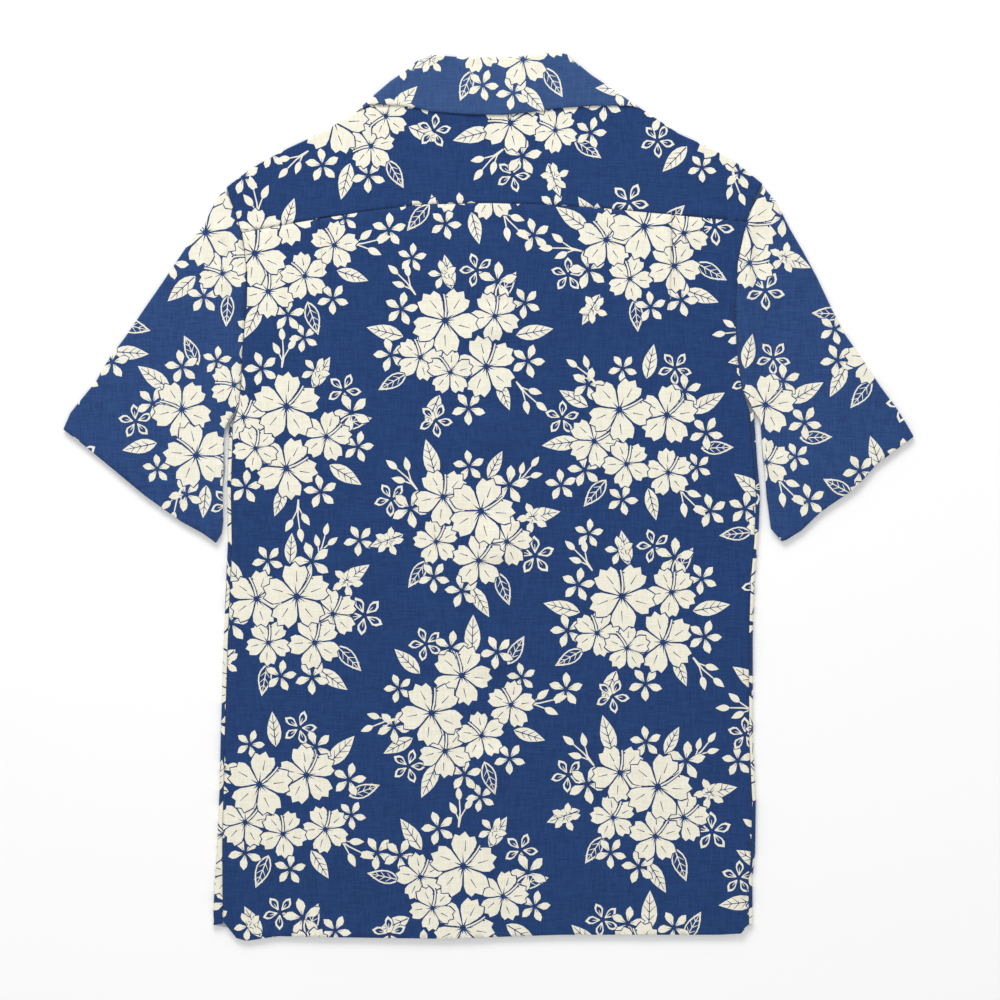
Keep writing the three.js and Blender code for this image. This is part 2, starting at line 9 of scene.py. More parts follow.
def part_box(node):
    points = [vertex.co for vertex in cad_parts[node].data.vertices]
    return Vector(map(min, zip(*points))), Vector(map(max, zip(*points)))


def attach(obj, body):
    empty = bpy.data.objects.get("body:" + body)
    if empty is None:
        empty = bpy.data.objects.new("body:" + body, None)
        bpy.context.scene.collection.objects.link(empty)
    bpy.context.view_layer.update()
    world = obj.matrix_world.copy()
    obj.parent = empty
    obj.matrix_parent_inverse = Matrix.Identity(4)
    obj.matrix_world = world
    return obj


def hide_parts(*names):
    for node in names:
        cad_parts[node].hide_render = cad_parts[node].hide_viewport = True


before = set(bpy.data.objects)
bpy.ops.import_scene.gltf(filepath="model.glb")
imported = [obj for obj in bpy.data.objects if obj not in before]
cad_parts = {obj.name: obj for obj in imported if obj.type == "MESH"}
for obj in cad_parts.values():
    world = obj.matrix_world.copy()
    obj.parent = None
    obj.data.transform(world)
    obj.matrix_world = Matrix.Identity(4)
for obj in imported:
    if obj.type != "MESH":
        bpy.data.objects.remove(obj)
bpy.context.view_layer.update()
scene = bpy.context.scene
MM = 0.001

# The place of the laid-out shirt: its measures are in millimetres on a sheet whose own zero is
# found again from the top button, which is sewn at the centre front.
TOP_BUTTON = (4.6, 150.0)
button_low, button_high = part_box("button_1")
SHIFT_X = (button_low[0] + button_high[0]) / 2 / MM - TOP_BUTTON[0]
SHIFT_Y = (button_low[1] + button_high[1]) / 2 / MM - TOP_BUTTON[1]


# Pale table under the shirt, with broad soft lights as over a product table: one large panel
# towards the collar, one weaker panel at the hem, and an even white surround.
def table_material():
    made = bpy.data.materials.new("white_table")
    made.use_nodes = True
    nodes, links = made.node_tree.nodes, made.node_tree.links
    shader = nodes["Principled BSDF"]
    where = nodes.new("ShaderNodeTexCoord")
    grain = nodes.new("ShaderNodeTexNoise")
    grain.inputs["Scale"].default_value = 3.0
    tone = nodes.new("ShaderNodeMix")
    tone.data_type = "RGBA"
    tone.inputs["A"].default_value = (0.93, 0.93, 0.93, 1)
    tone.inputs["B"].default_value = (0.96, 0.96, 0.96, 1)
    links.new(where.outputs["Object"], grain.inputs["Vector"])
    links.new(grain.outputs["Fac"], tone.inputs["Factor"])
    links.new(tone.outputs["Result"], shader.inputs["Base Color"])
    shader.inputs["Roughness"].default_value = 0.9
    return made


bpy.ops.object.select_all(action="DESELECT")
bpy.ops.mesh.primitive_plane_add(size=12, location=(0, 0, 0))
table_top = bpy.context.object
table_top.name = "table_top"
table_top.data.materials.append(table_material())


def soft_light(name, place, aim, size, power):
    data = bpy.data.lights.new(name, "AREA")
    data.shape = "RECTANGLE"
    data.size, data.size_y = size
    data.energy = power
    lamp = bpy.data.objects.new(name, data)
    scene.collection.objects.link(lamp)
    lamp.location = place
    lamp.rotation_mode = "QUATERNION"
    lamp.rotation_quaternion = (Vector(aim) - Vector(place)).to_track_quat("-Z", "Y")


soft_light("window_light", (-0.5, 2.1, 1.5), (0, 0.1, 0), (1.8, 1.0), 46)
soft_light("fill_light", (0.3, -1.6, 2.6), (0, 0, 0), (2.6, 2.6), 16)
surround = bpy.data.worlds.new("white_room")
surround.use_nodes = True
surround.node_tree.nodes["Background"].inputs["Color"].default_value = (1, 1, 1, 1)
surround.node_tree.nodes["Background"].inputs["Strength"].default_value = 0.62
scene.world = surround
scene.view_settings.view_transform = "Standard"

# Camera straight above, as the photograph was taken: 1000 pixels across take in 850 mm.
CAMERA_HEIGHT = 2.4
VIEW_WIDTH = 0.85
VIEW_CENTRE = (9.7, -2.7)
camera_data = bpy.data.cameras.new("camera")
camera_data.sensor_width = 36
camera_data.lens = 36 * CAMERA_HEIGHT / VIEW_WIDTH
camera = bpy.data.objects.new("camera", camera_data)
camera.location = ((VIEW_CENTRE[0] + SHIFT_X) * MM, (VIEW_CENTRE[1] + SHIFT_Y) * MM, CAMERA_HEIGHT)
scene.collection.objects.link(camera)
scene.camera = camera


# The print: flowers and leaves left unprinted on a blue ground, cream as the cloth itself. Each
# motif is a list of (tone, outline) in millimetres, where a later outline covers an earlier one.
GROUND, PLAIN = 0, 1
GAP_LINE = 1.0  # blue line kept clear round each motif
VEIN = 0.9  # width of the drawn lines

HIBISCUS_PETAL = (  # distance from the flower's middle as a share of its radius, and degrees aside
    (0.04, -20), (0.40, -33), (0.62, -34), (0.81, -30), (0.96, -21), (0.89, -12), (1.05, -3),
    (0.92, 7), (1.00, 15), (0.85, 23), (0.75, 29), (0.57, 32), (0.40, 31), (0.04, 20),
)
STAR_POINTS = 11  # spikes of the dark star in a hibiscus
STAR_REACHES = (0.36, 0.25, 0.42, 0.22, 0.33)
STAR_WAIST = 0.09
PLUMERIA_PETAL = (
    (0.14, -8), (0.40, -21), (0.64, -24), (0.84, -15), (1.06, 1), (0.86, 13), (0.64, 19),
    (0.42, 18), (0.16, 10),
)


def polar(middle, reach, degrees):
    """The point at a distance and an angle from another."""
    turn = math.radians(degrees)
    return (middle[0] + reach * math.cos(turn), middle[1] + reach * math.sin(turn))


def petals(middle, radius, turn, form, swell=0.0, count=5):
    """The petals of one flower, each as an outline, swollen by so many millimetres."""
    made = []
    for k in range(count):
        heading = turn + 360 * k / count
        widen = 1 + swell * 1.6 / radius
        made.append([polar(middle, r * radius + swell, heading + a * widen) for r, a in form])
    return made


def stroke(line, start, end):
    """A drawn line that runs from one width to the other."""
    left, right = [], []
    for k, (x, y) in enumerate(line):
        before, after = line[max(k - 1, 0)], line[min(k + 1, len(line) - 1)]
        away = math.hypot(after[0] - before[0], after[1] - before[1])
        half = (start + (end - start) * k / (len(line) - 1)) / 2
        nx, ny = (before[1] - after[1]) / away * half, (after[0] - before[0]) / away * half
        left.append((x + nx, y + ny))
        right.append((x - nx, y - ny))
    return left + right[::-1]


def hibiscus(middle, radius, turn):
    """Five ruffled petals round a dark star, with one long pistil."""
    drawn = [(GROUND, p) for p in petals(middle, radius, turn, HIBISCUS_PETAL, GAP_LINE)]
    drawn += [(PLAIN, p) for p in petals(middle, radius, turn, HIBISCUS_PETAL)]
    star = []
    for k in range(2 * STAR_POINTS):
        reach = radius * (STAR_REACHES[k // 2 % 5] if k % 2 == 0 else STAR_WAIST)
        star.append(polar(middle, reach, turn + 360 * k / 22 + 9))
    drawn.append((GROUND, star))
    lean = turn + 20
    pistil = [polar(middle, radius * r, lean + 16 * r) for r in (0.1, 0.35, 0.6, 0.8)]
    drawn.append((GROUND, stroke(pistil, 3.4, 2.6)))
    drawn.append((PLAIN, stroke(pistil, 1.5, 1.1)))
    for share, aside in ((0.62, 8), (0.72, -6), (0.8, 7), (0.86, -2)):
        spot = polar(middle, radius * share, lean + 16 * share + aside)
        drawn.append((GROUND, [polar(spot, 0.9, 72 * k) for k in range(5)]))
    for k in range(5):
        fold = [polar(middle, radius * r, turn + 72 * k + (-9 + 5 * r)) for r in (0.45, 0.78)]
        drawn.append((GROUND, stroke(fold, VEIN * 0.9, 0.35)))
    return drawn


def plumeria(middle, radius, turn):
    """Five pointed petals, each with a short line from the middle."""
    drawn = [(GROUND, p) for p in petals(middle, radius, turn, PLUMERIA_PETAL, GAP_LINE * 0.8)]
    drawn += [(PLAIN, p) for p in petals(middle, radius, turn, PLUMERIA_PETAL)]
    for k in range(5):
        ray = [polar(middle, radius * r, turn + 72 * k + 2) for r in (0.08, 0.42)]
        drawn.append((GROUND, stroke(ray, VEIN * 0.8, 0.3)))
    return drawn


def open_plumeria(middle, radius, turn):
    """A plumeria drawn in line: cream edges round blue petals."""
    drawn = [(GROUND, p) for p in petals(middle, radius, turn, PLUMERIA_PETAL, GAP_LINE)]
    drawn += [(PLAIN, p) for p in petals(middle, radius, turn, PLUMERIA_PETAL, 0.2)]
    inner = [(0.24 + r * 0.62, a * 0.66) for r, a in PLUMERIA_PETAL]
    drawn += [(GROUND, p) for p in petals(middle, radius, turn, inner)]
    for k in range(5):
        ray = [polar(middle, radius * r, turn + 72 * k) for r in (0.2, 0.62)]
        drawn.append((PLAIN, stroke(ray, VEIN, 0.4)))
    return drawn


def leaf_outline(base, length, turn, width, inset=0.0):
    """A pointed leaf from its base, drawn in from its edge by the inset."""
    shares = (0.0, 0.10, 0.24, 0.40, 0.58, 0.76, 0.90, 1.0)
    sides = []
    for sign in (1, -1):
        line = []
        for share in shares:
            along = inset + (length - 2.2 * inset) * share
            half = max(width * math.sin(math.pi * share ** 0.8) - inset, 0)
            tilt = math.radians(turn)
            dx, dy = math.cos(tilt), math.sin(tilt)
            across = sign * half
            line.append((base[0] + along * dx - across * dy, base[1] + along * dy + across * dx))
        sides.append(line)
    return sides[1] + sides[0][-2:0:-1]


def leaf_veins(base, length, turn, width, tone):
    drawn = [(tone, stroke([polar(base, length * r, turn) for r in (0.04, 0.5, 0.9)], VEIN * 1.1, 0.5))]
    for share in (0.25, 0.45, 0.65):
        root = polar(base, length * share, turn)
        for side in (1, -1):
            tip = polar(root, width * 1.15 * math.sin(math.pi * share ** 0.8), turn + side * 42)
            drawn.append((tone, stroke([root, tip], VEIN * 0.8, 0.35)))
    return drawn


def leaf(base, length, turn):
    width = length * 0.2
    return [
        (GROUND, leaf_outline(base, length + 2 * GAP_LINE, turn, width + GAP_LINE)),
        (PLAIN, leaf_outline(base, length, turn, width)),
    ] + leaf_veins(base, length, turn, width, GROUND)


def open_leaf(base, length, turn):
    width = length * 0.21
    return [
        (GROUND, leaf_outline(base, length + 2 * GAP_LINE, turn, width + GAP_LINE)),
        (PLAIN, leaf_outline(base, length, turn, width)),
        (GROUND, leaf_outline(base, length, turn, width, 1.1)),
    ] + leaf_veins(base, length, turn, width, PLAIN)


def spray(base, length, turn):
    """A forked stem with three buds."""
    drawn = []
    for reach, bend in ((1.0, 12), (0.72, -24), (0.5, 34)):
        stem = [polar(base, length * reach * r, turn + bend * r * r) for r in (0.0, 0.4, 0.72)]
        drawn.append((PLAIN, stroke(stem, 1.3, 1.0)))
        drawn.append((PLAIN, leaf_outline(stem[-1], length * 0.36, turn + bend * 1.1, length * 0.085)))
    return drawn


MOTIFS = {
    "hibiscus": hibiscus,
    "plumeria": plumeria,
    "open_plumeria": open_plumeria,
    "leaf": leaf,
    "open_leaf": open_leaf,
    "spray": spray,
}

# Three bunches, with each motif's place, size and turn in the order it is drawn.
BUNCHES = (
    (
        ("spray", -38, 30, 34, 128), ("spray", 44, 34, 30, 40), ("open_leaf", 30, -40, 30, -70),
        ("leaf", -22, 40, 34, 105), ("leaf", 52, 6, 32, 10), ("leaf", -50, -8, 30, 200),
        ("open_leaf", -30, -30, 28, 236), ("leaf", 8, -52, 30, -60), ("leaf", 22, 40, 26, 62),
        ("open_plumeria", 62, -26, 16, 20), ("open_plumeria", -60, 22, 14, 50),
        ("plumeria", 40, 34, 16, 12), ("plumeria", 60, 6, 13, 40), ("plumeria", -44, 14, 16, 65),
        ("plumeria", -62, -14, 12, 8), ("plumeria", 0, -56, 14, 30), ("plumeria", -24, -44, 13, 55),
        ("plumeria", 6, 50, 13, 25), ("hibiscus", -22, -14, 19, 30), ("hibiscus", 38, -14, 21, 8),
        ("hibiscus", -16, 24, 24, 52), ("hibiscus", 14, -30, 22, 20), ("hibiscus", 16, 12, 28, 0),
    ),
    (
        ("spray", 42, -30, 36, -38), ("spray", -46, 28, 32, 150), ("leaf", 36, 30, 34, 48),
        ("open_leaf", 54, 4, 28, 20), ("leaf", -46, -22, 32, 205), ("leaf", -8, 46, 30, 96),
        ("open_leaf", -14, -46, 30, -112), ("leaf", 22, -42, 28, -58), ("leaf", -48, 8, 28, 168),
        ("open_plumeria", 12, 62, 14, 0), ("open_plumeria", -66, -8, 14, 33),
        ("plumeria", 26, 46, 14, 40), ("plumeria", 54, 18, 14, 5), ("plumeria", 56, -12, 12, 60),
        ("plumeria", -54, 26, 14, 20), ("plumeria", -34, -44, 14, 48), ("plumeria", 4, -58, 13, 14),
        ("plumeria", -30, 48, 12, 70), ("hibiscus", 34, -24, 20, 44), ("hibiscus", -34, -18, 22, 15),
        ("hibiscus", 18, 22, 25, 30), ("hibiscus", -2, -28, 20, 62), ("hibiscus", -22, 14, 27, 10),
    ),
    (
        ("spray", -20, 52, 32, 100), ("spray", 28, -50, 34, -76), ("leaf", -44, 24, 32, 142),
        ("leaf", 44, -14, 32, -14), ("open_leaf", 40, 20, 30, 30), ("leaf", -36, -34, 30, 222),
        ("leaf", 10, 44, 30, 78), ("open_leaf", -54, -6, 28, 186), ("leaf", 14, -44, 26, -92),
        ("open_plumeria", 36, 50, 14, 12), ("open_plumeria", -48, -52, 14, 40),
        ("plumeria", 48, 34, 16, 62), ("plumeria", 62, 8, 13, 22), ("plumeria", 44, -38, 14, 46),
        ("plumeria", -60, 14, 14, 10), ("plumeria", -18, -54, 14, 30), ("plumeria", -36, 46, 14, 55),
        ("plumeria", 8, 58, 12, 5), ("hibiscus", 34, 8, 21, 25), ("hibiscus", -38, 2, 20, 50),
        ("hibiscus", 10, -28, 26, 12), ("hibiscus", -20, -20, 19, 66), ("hibiscus", -6, 22, 28, 36),
    ),
)
BUNCH_REACH = 85.0  # from a bunch's middle to its outermost motif
REPEAT_ACROSS = 150.0  # one bunch to the next across the cloth
REPEAT_DOWN = 156.0  # and down it, each column half a step lower than its neighbour
BUNCH_TURNS = (0, 24, -18, 40)
LONE_FLOWERS = (  # one to each kind of bunch, between it and its neighbours
    ("plumeria", 84, 34, 13, 24), ("plumeria", 78, -44, 14, 48), ("plumeria", -10, 82, 12, 60),
)


def print_shapes(low, high, start, slant=0.0):
    """All the shapes of the print that reach a rectangle of cloth, in the order they are drawn."""
    drawn = []
    span = math.hypot(high[0] - low[0], high[1] - low[1]) / 2 + 90
    middle = ((low[0] + high[0]) / 2, (low[1] + high[1]) / 2)
    lean = math.radians(slant)
    steps = int(span / REPEAT_ACROSS) + 2
    for column in range(-steps, steps + 1):
        for row in range(-steps, steps + 1):
            x = start[0] + column * REPEAT_ACROSS
            y = start[1] + row * REPEAT_DOWN + (column % 2) * REPEAT_DOWN / 2
            x, y = x * math.cos(lean) - y * math.sin(lean), x * math.sin(lean) + y * math.cos(lean)
            x, y = x + middle[0], y + middle[1]
            if not low[0] - BUNCH_REACH < x < high[0] + BUNCH_REACH:
                continue
            if not low[1] - BUNCH_REACH < y < high[1] + BUNCH_REACH:
                continue
            kind = (column + 2 * row) % 3
            turn = slant + BUNCH_TURNS[(column * 2 + row) % 4]
            tilt = math.radians(turn)
            for motif, dx, dy, size, spin in (LONE_FLOWERS[kind],) + BUNCHES[kind]:
                at = (
                    x + dx * math.cos(tilt) - dy * math.sin(tilt),
                    y + dx * math.sin(tilt) + dy * math.cos(tilt),
                )
                drawn += MOTIFS[motif](at, size, spin + turn)
    return drawn


# The cloth itself: a light plain weave with small slubs, printed blue on one side. A sheet is laid
# out flat with its print, then carried to where it lies, and given its thickness on the inner side.
CLOTH_THICKNESS = 0.45
LINING_EASE = 0.15  # the inner face's further distance behind the printed one, away from the edges
BESIDE = 2.5  # how far round a point the inner face gives way to a narrow crease
EDGE_STEP = 4.0  # between points along an edge or a fold
GRID_STEP = 4.6  # between points of the printed face
LINING_STEP = 4.8  # between points of the inner face
FOLD_STEPS = (-2.2, -1.1, -0.5, -0.15, 0.0, 0.15, 0.5, 1.1, 2.2)  # lines beside each fold
SEAM_DROOP = 0.5  # the cloth dips so far into a seam


def cloth_material(name, colour, second, slub):
    """Woven cloth: two tones of one colour mixed along threads both ways, which also stand proud."""
    made = bpy.data.materials.new(name)
    made.use_nodes = True
    nodes, links = made.node_tree.nodes, made.node_tree.links
    shader = nodes["Principled BSDF"]
    where = nodes.new("ShaderNodeTexCoord")
    tones = []
    for scale in ((60, 700, 60), (700, 60, 60)):
        stretch = nodes.new("ShaderNodeMapping")
        stretch.inputs["Scale"].default_value = scale
        thread = nodes.new("ShaderNodeTexNoise")
        thread.inputs["Scale"].default_value = 1.6
        thread.inputs["Detail"].default_value = 3
        links.new(where.outputs["Object"], stretch.inputs["Vector"])
        links.new(stretch.outputs["Vector"], thread.inputs["Vector"])
        tones.append(thread.outputs["Fac"])
    both = nodes.new("ShaderNodeMath")
    both.operation = "ADD"
    links.new(tones[0], both.inputs[0])
    links.new(tones[1], both.inputs[1])
    spread = nodes.new("ShaderNodeMapRange")
    spread.inputs["From Min"].default_value = 0.8
    spread.inputs["From Max"].default_value = 1.2
    links.new(both.outputs[0], spread.inputs["Value"])
    mixed = nodes.new("ShaderNodeMix")
    mixed.data_type = "RGBA"
    mixed.inputs["A"].default_value = (*colour, 1)
    mixed.inputs["B"].default_value = (*second, 1)
    links.new(spread.outputs["Result"], mixed.inputs["Factor"])
    links.new(mixed.outputs["Result"], shader.inputs["Base Color"])
    bump = nodes.new("ShaderNodeBump")
    bump.inputs["Strength"].default_value = slub
    bump.inputs["Distance"].default_value = 0.0002
    links.new(both.outputs[0], bump.inputs["Height"])
    links.new(bump.outputs["Normal"], shader.inputs["Normal"])
    shader.inputs["Roughness"].default_value = 0.88
    shader.inputs["Sheen Weight"].default_value = 0.15
    shader.inputs["Specular IOR Level"].default_value = 0.2
    return made


BLUE = cloth_material("printed_blue", (0.0085, 0.034, 0.125), (0.014, 0.050, 0.168), 0.35)
CREAM = cloth_material("cream_cloth", (0.76, 0.73, 0.60), (0.86, 0.83, 0.71), 0.3)
# The sleeves are the same printed cloth as the body. Their lighter blue is painted light, standing in for
# the sheen that light leaves on them.
SLEEVE_PAINTED_LIGHT_BLUE = cloth_material("printed_blue_sleeve", (0.0145, 0.043, 0.145), (0.022, 0.066, 0.20), 0.35)
# The collar is the same printed cloth too. Its still lighter blue is painted light on the collar.
COLLAR_PAINTED_LIGHT_BLUE = cloth_material("printed_blue_collar_painted_light", (0.024, 0.062, 0.175), (0.036, 0.085, 0.225), 0.35)
INSIDE = cloth_material("cloth_inside", (0.36, 0.41, 0.48), (0.46, 0.50, 0.55), 0.3)


def look_up(rows, at):
    """The value at a place in a short table of (place, value), level beyond its ends."""
    rows = sorted(rows)
    if at <= rows[0][0]:
        return rows[0][1]
    for (low, start), (high, end) in zip(rows, rows[1:]):
        if at <= high:
            return start + (end - start) * (at - low) / (high - low)
    return rows[-1][1]


def fine_line(line, step, closed=False):
    """The same line with points at about every step."""
    made = []
    ends = line[1:] + line[:1] if closed else line[1:]
    for (ax, ay), (bx, by) in zip(line, ends):
        pieces = max(1, round(math.hypot(bx - ax, by - ay) / step))
        made += [(ax + (bx - ax) * k / pieces, ay + (by - ay) * k / pieces) for k in range(pieces)]
    return made if closed else made + [line[-1]]


def signed_area(shape):
    """The area inside a closed outline, below nothing where it runs clockwise."""
    turned = shape[1:] + shape[:1]
    return sum(a[0] * b[1] - b[0] * a[1] for a, b in zip(shape, turned)) / 2


def ring_of(triangles):
    """The outer edge of a set of triangles, in order."""
    onward = {}
    sides = set()
    for a, b, c in triangles:
        sides.update(((a, b), (b, c), (c, a)))
    for a, b in sides:
        if (b, a) not in sides:
            onward[a] = b
    start = next(iter(onward))
    ring = [start]
    while onward[ring[-1]] != start:
        ring.append(onward[ring[-1]])
    return ring


def sew(name, outline, place, shapes, fold_lines=(), side=1, blue=BLUE, deepest=2.4):
    """A closed sheet of printed cloth. Place carries a point of the flat cut to where it lies."""
    dice = random.Random(name)
    rim = fine_line(list(outline), EDGE_STEP, True)
    if signed_area(rim) < 0:
        rim.reverse()
    low = [min(p[k] for p in rim) for k in (0, 1)]
    high = [max(p[k] for p in rim) for k in (0, 1)]
    points, faces, edges, tones = list(rim), [list(range(len(rim)))], [], [GROUND]
    for tone, shape in shapes:
        if any(max(p[k] for p in shape) < low[k] or min(p[k] for p in shape) > high[k] for k in (0, 1)):
            continue
        if signed_area(shape) < 0:
            shape = shape[::-1]
        faces.append(list(range(len(points), len(points) + len(shape))))
        tones.append(tone)
        points += shape
    fine_folds = [fine_line(list(line), EDGE_STEP) for line in fold_lines]
    for line in fine_folds:
        edges += [(len(points) + k, len(points) + k + 1) for k in range(len(line) - 1)]
        points += line

    def scatter(step):
        made = []
        for i in range(int((high[0] - low[0]) / step)):
            for j in range(int((high[1] - low[1]) / step)):
                x = low[0] + (i + 0.5 + dice.uniform(-0.2, 0.2)) * step
                y = low[1] + (j + 0.5 + dice.uniform(-0.2, 0.2)) * step
                made.append((x, y))
        return made

    points += scatter(GRID_STEP)
    flat, _, found, _, _, owners = delaunay_2d_cdt([Vector(p) for p in points], edges, faces, 1, 1e-4)
    outer, tint = [], []
    for triangle, owner in zip(found, owners):
        if 0 in owner:
            outer.append(tuple(triangle))
            tint.append(tones[max(owner)])
    ring = ring_of(outer)
    loop = [flat[k] for k in ring]
    loose = scatter(LINING_STEP) + [p for line in fine_folds for p in line]
    kept = []
    for p in loose:
        spot = Vector(p)
        if min((spot - q).length_squared for q in loop) > 1.2:
            kept.append(spot)
    laid, _, found, sources, _, owners = delaunay_2d_cdt(loop + kept, [], [list(range(len(loop)))], 1, 1e-5)
    lining = [tuple(t) for t, owner in zip(found, owners) if 0 in owner]

    def at(x, y):
        return Vector(place(x, y))

    def normal(x, y):
        over = at(x + 0.05, y) - at(x - 0.05, y)
        up = at(x, y + 0.05) - at(x, y - 0.05)
        return over.cross(up).normalized() * side

    def tucked(x, y, facing):
        """How far the cloth close by lies below a point, beside a narrow crease or a pleat."""
        middle = at(x, y)
        beside = [(x + dx, y + dy) for dx in (-BESIDE, 0, BESIDE) for dy in (-BESIDE, BESIDE)]
        drops = [(middle - at(*spot)).dot(facing) for spot in beside]
        return max([drop for drop in drops if drop < deepest] + [0.0])

    shift = Vector((SHIFT_X, SHIFT_Y, 0))
    used = sorted({k for triangle in outer for k in triangle})
    index = {k: n for n, k in enumerate(used)}
    solid = [(at(*flat[k]) + shift) * MM for k in used]
    triangles = [tuple(index[k] for k in t) for t in outer]
    slots = list(tint)
    lined = {}
    for k in {k for t in lining for k in t}:
        spot = laid[k]
        lined[k] = len(solid)
        facing = normal(*spot)
        depth = CLOTH_THICKNESS
        if not any(source < len(loop) for source in sources[k]) and abs(facing.z) > 0.8:
            depth += LINING_EASE + tucked(*spot, facing)
        solid.append((at(*spot) - facing * depth + shift) * MM)
    back_of = {s: k for k, found_from in enumerate(sources) for s in found_from if s < len(loop)}
    for a, b, c in lining:
        triangles.append((lined[c], lined[b], lined[a]))
        slots.append(2)
    for k in range(len(ring)):
        after = (k + 1) % len(ring)
        a, b = index[ring[k]], index[ring[after]]
        c, d = lined[back_of[after]], lined[back_of[k]]
        triangles += [(b, a, d), (b, d, c)]
        slots += [GROUND, GROUND]
    if side < 0:
        triangles = [t[::-1] for t in triangles]
    mesh = bpy.data.meshes.new(name)
    mesh.from_pydata(solid, [], triangles)
    for material in (blue, CREAM, INSIDE):
        mesh.materials.append(material)
    mesh.polygons.foreach_set("material_index", slots)
    mesh.polygons.foreach_set("use_smooth", [True] * len(slots))
    mesh.update()
    made = bpy.data.objects.new(name, mesh)
    scene.collection.objects.link(made)
    flat_size = ((high[0] - low[0]) * MM, (high[1] - low[1]) * MM)
    return made, flat_size, abs(signed_area(rim)) * MM * MM


def turned(past, middle, radius):
    """Where cloth lies that has gone so far past a fold's edge: how far in from it, and its height."""
    inward = abs(past)
    rise = radius if inward >= radius else math.sqrt(radius ** 2 - (radius - inward) ** 2)
    return inward, middle - rise if past > 0 else middle + rise


def soft(x, y, marks):
    """Height of the soft creases: each runs between two points, with its width and its height."""
    total = 0.0
    for ax, ay, bx, by, width, height in marks:
        dx, dy = bx - ax, by - ay
        long = dx * dx + dy * dy
        share = ((x - ax) * dx + (y - ay) * dy) / long
        aside = ((x - ax) * dy - (y - ay) * dx) / math.sqrt(long)
        if -0.25 < share < 1.25 and abs(aside) < 3 * width:
            fade = min(1.0, (share + 0.25) * 4, (1.25 - share) * 4)
            total += height * fade * math.exp(-(aside / width) ** 2)
    return total


def ease(share):
    """A soft rise from nothing at 0 to all at 1."""
    share = min(1.0, max(0.0, share))
    return share * share * (3 - 2 * share)


# Lines that several pieces share: the sides of the body, the armholes and the buttons' column.
CENTRE = 4.6
SIDE_LINE = {
    "left": ((-366, -234.3), (-336, -233.0), (-293, -230.4), (-252, -228.6), (-203, -227.5),
             (-125, -224.9), (-80, -223.2), (-38, -221.4), (4, -222.2), (56, -220.6)),
    "right": ((-366, 224.3), (-324, 224.0), (-302, 226.4), (-257, 227.0), (-206, 224.6),
              (-120, 224.3), (-70, 226.0), (-37, 229.0), (3, 230.6), (30, 228.1), (77, 225.0)),
}
SIDE_STRIP = {
    "left": ((-366, 9.0), (-336, 7.2), (-293, 4.4), (-252, 3.6), (56, 3.4)),
    "right": ((-366, 3.2), (77, 3.4)),
}
BACK_ARMHOLE = {
    "left": ((63, -217.0), (77, -212.0), (95, -209.9), (124, -209.0), (164, -205.1),
             (190, -204.8), (209, -207.1), (227, -210.5), (241, -214.8), (253, -219.6), (258, -222.5)),
    "right": ((75, 219.0), (92, 214.9), (125, 210.5), (160, 209.4), (198, 211.3),
              (214, 214.5), (234, 218.8), (245, 223.4), (260, 232.0)),
}
FRONT_ARMHOLE = {
    "left": ((63, -216.2), (77, -211.5), (95, -205.8), (124, -201.0), (164, -197.5),
             (190, -198.5), (209, -202.5), (227, -208.0), (241, -213.5), (253, -219.0), (258, -222.5)),
    "right": ((75, 219.0), (92, 212.0), (125, 203.0), (160, 201.0), (198, 204.5),
              (214, 209.5), (234, 216.5), (245, 222.0), (260, 232.0)),
}
BUTTON_ROWS = (150, 55, -40, -135, -230)
BUTTON_LIFT = 2.5  # the cloth rises so far over a button
RISE_FOOT, RISE_SLOPE = 22, 14  # half width of that rise, and of its slope
FLOOR_FACE = 0.1  # height of the printed face that lies on the table
BACK_FACE = 4.4  # height of the back's printed face
SIDE_FOLD = (2.25, 2.15)  # height of the middle of a fold at a side, and its radius


def button_rise(x, y):
    """How far the cloth over the buttons is lifted."""
    nearest = min(abs(y - row) for row in BUTTON_ROWS)
    across = ease((RISE_FOOT - abs(x - CENTRE)) / RISE_SLOPE)
    return BUTTON_LIFT * across * ease((RISE_FOOT - nearest) / RISE_SLOPE)


# Back panel: one width of cloth from the yoke to the hem, joined to the fronts at the sides. Two
# small knife pleats are caught in the yoke seam, and the hem is turned up and stitched.
YOKE_SEAM = ((-209.0, 224.3), (-161.4, 233.2), (-101.7, 242.9), (-56.8, 248.3), (1.8, 249.5),
             (44.5, 248.4), (99.4, 244.9), (146.2, 240.5), (218.8, 233.6))
BACK_HEM = ((-225.3, -360.0), (-213.9, -374.5), (-205.4, -376.8), (-178.3, -372.8),
            (-134.8, -373.7), (-35.4, -375.0), (60.7, -371.6), (195.6, -371.6), (214.0, -370.5),
            (221.1, -362.0))
HEM_DEPTH = 20.0
STITCH_SINK, STITCH_WIDTH = 0.28, 1.3  # groove of the hem's stitching
LAPELS_LIFT = 1.9  # the back rises so far where the lapels' rolls cross under it
PLEAT_LIFT = 1.9
PLEATS = (  # x at the yoke seam and at the foot, the side it faces, and the y where it ends
    (-142.7, -138.6, -1, 150),
    (155.0, 152.5, 1, 130),
)
BACK_CREASES = (
    (-142, 190, -128, 40, 5, 0.5), (-120, 215, -96, 90, 7, -0.4), (152, 160, 138, -20, 6, 0.5),
    (168, 232, 160, 200, 2.5, 0.5), (-202, 180, -190, 40, 6, 0.5), (204, 160, 196, 20, 6, 0.45),
    (211, -290, 214, -367, 4, 0.9), (-222, -337, -215, -363, 2, 0.6), (60, 200, 84, -40, 12, 0.5),
    (-60, 120, -40, -160, 12, 0.5), (-160, -120, -140, -340, 10, 0.5), (120, -140, 134, -350, 10, 0.5),
    (-20, -220, -10, -360, 9, 0.4), (-214, 30, -150, -10, 7, 0.4), (218, 20, 150, -30, 7, 0.4),
)


